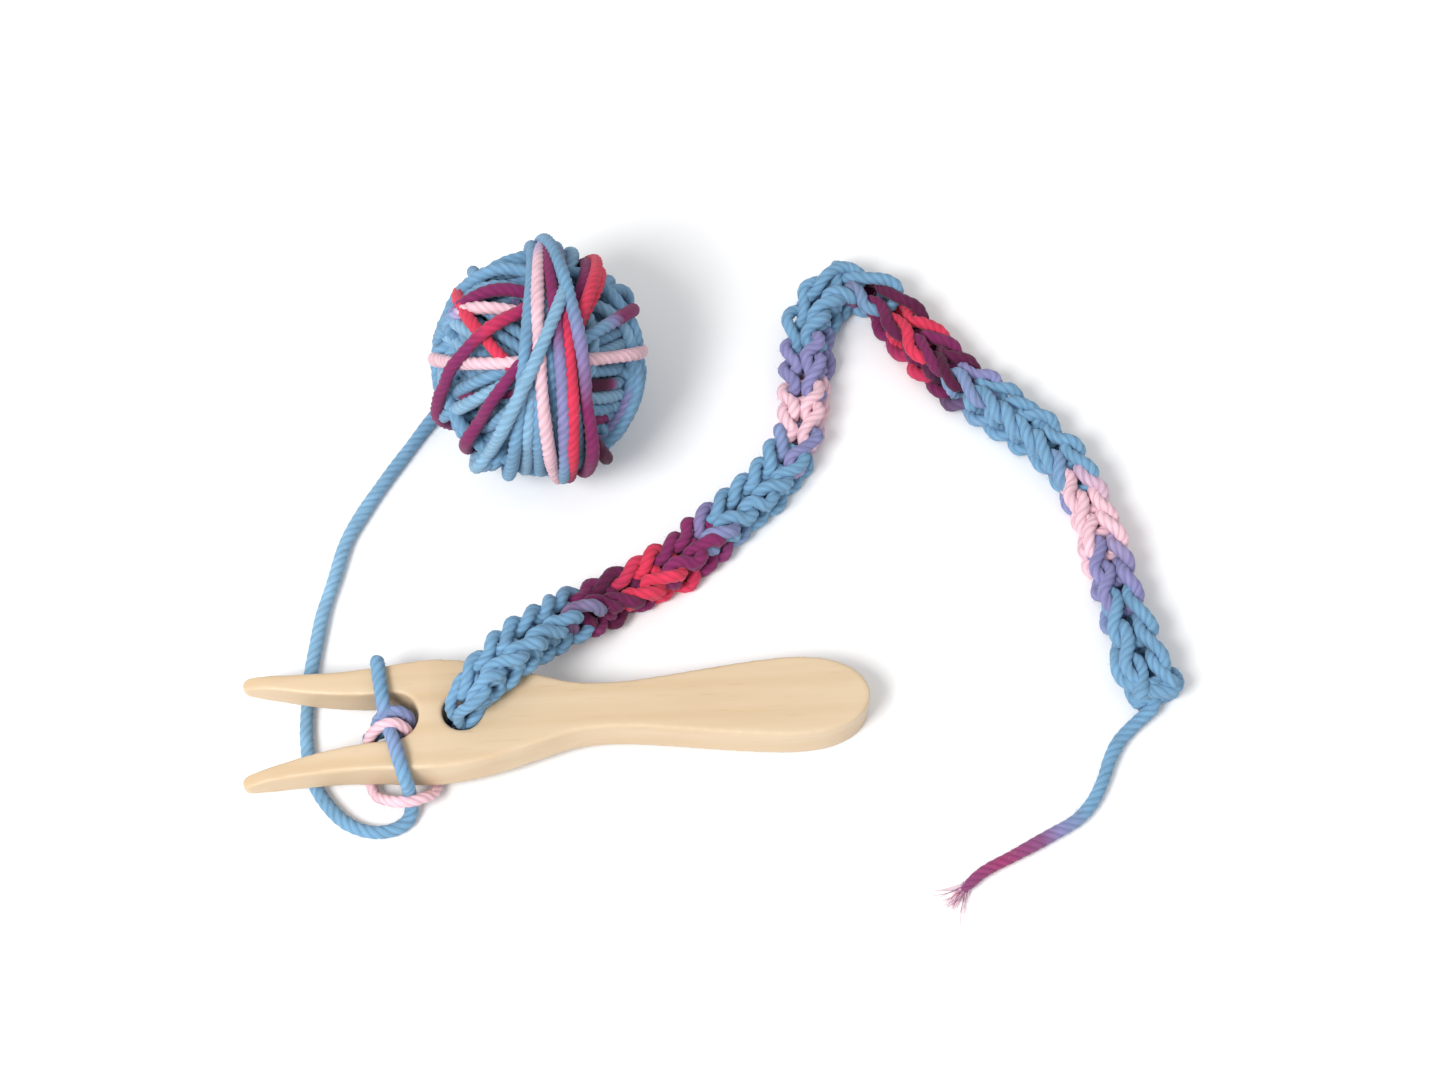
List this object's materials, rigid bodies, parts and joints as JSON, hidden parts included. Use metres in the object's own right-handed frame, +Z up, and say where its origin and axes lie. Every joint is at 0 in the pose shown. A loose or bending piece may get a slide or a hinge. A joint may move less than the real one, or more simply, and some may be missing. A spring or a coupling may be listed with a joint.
{
  "type": "knitting fork",
  "caption": "Flat wooden two-pronged knitting fork with a ball of yarn, loops on its prongs and a knitted cord through its hole.",
  "frame": {"origin": "under the middle of the fork, on the surface that it lies on", "axes": "+X from the prong tips to the handle's end, +Z up, +Y to the side on which the ball lies"},
  "size_m": [0.2559, 0.1967, 0.0626],
  "materials": {
    "fork_wood": "smooth sanded pale wood, thin wax",
    "yarn": "soft plied wool, shaded blue, lilac, pink, coral and plum"
  },
  "bodies": {
    "fork": {"fork_body": "fork_wood", "crotch_knot": "yarn", "bridge_cord": "yarn", "hole_cord": "yarn", "knitted_cord": "yarn", "cast_on_knot": "yarn", "tail_yarn": "yarn", "working_yarn": "yarn", "working_turn": "yarn"},
    "ball": {"yarn_ball": "yarn"},
    "far_loop": {"far_loop": "yarn"},
    "near_loops": {"near_loop": "yarn", "working_wrap": "yarn"}
  },
  "joints": [
    {"name": "ball_roll", "type": "hinge", "parent": "fork", "child": "ball", "pos_m": [0.0004, 0.0992, 0.0314], "axis": [0, 1, 0], "continuous": true},
    {"name": "far_loop_slide", "type": "slide", "parent": "fork", "child": "far_loop", "axis": [-0.999, 0, 0.0454], "range_m": [0, 0.01]},
    {"name": "near_loops_slide", "type": "slide", "parent": "fork", "child": "near_loops", "axis": [-0.999, 0, 0.0454], "range_m": [0, 0.008], "deforming": ["working_turn"]}
  ]
}
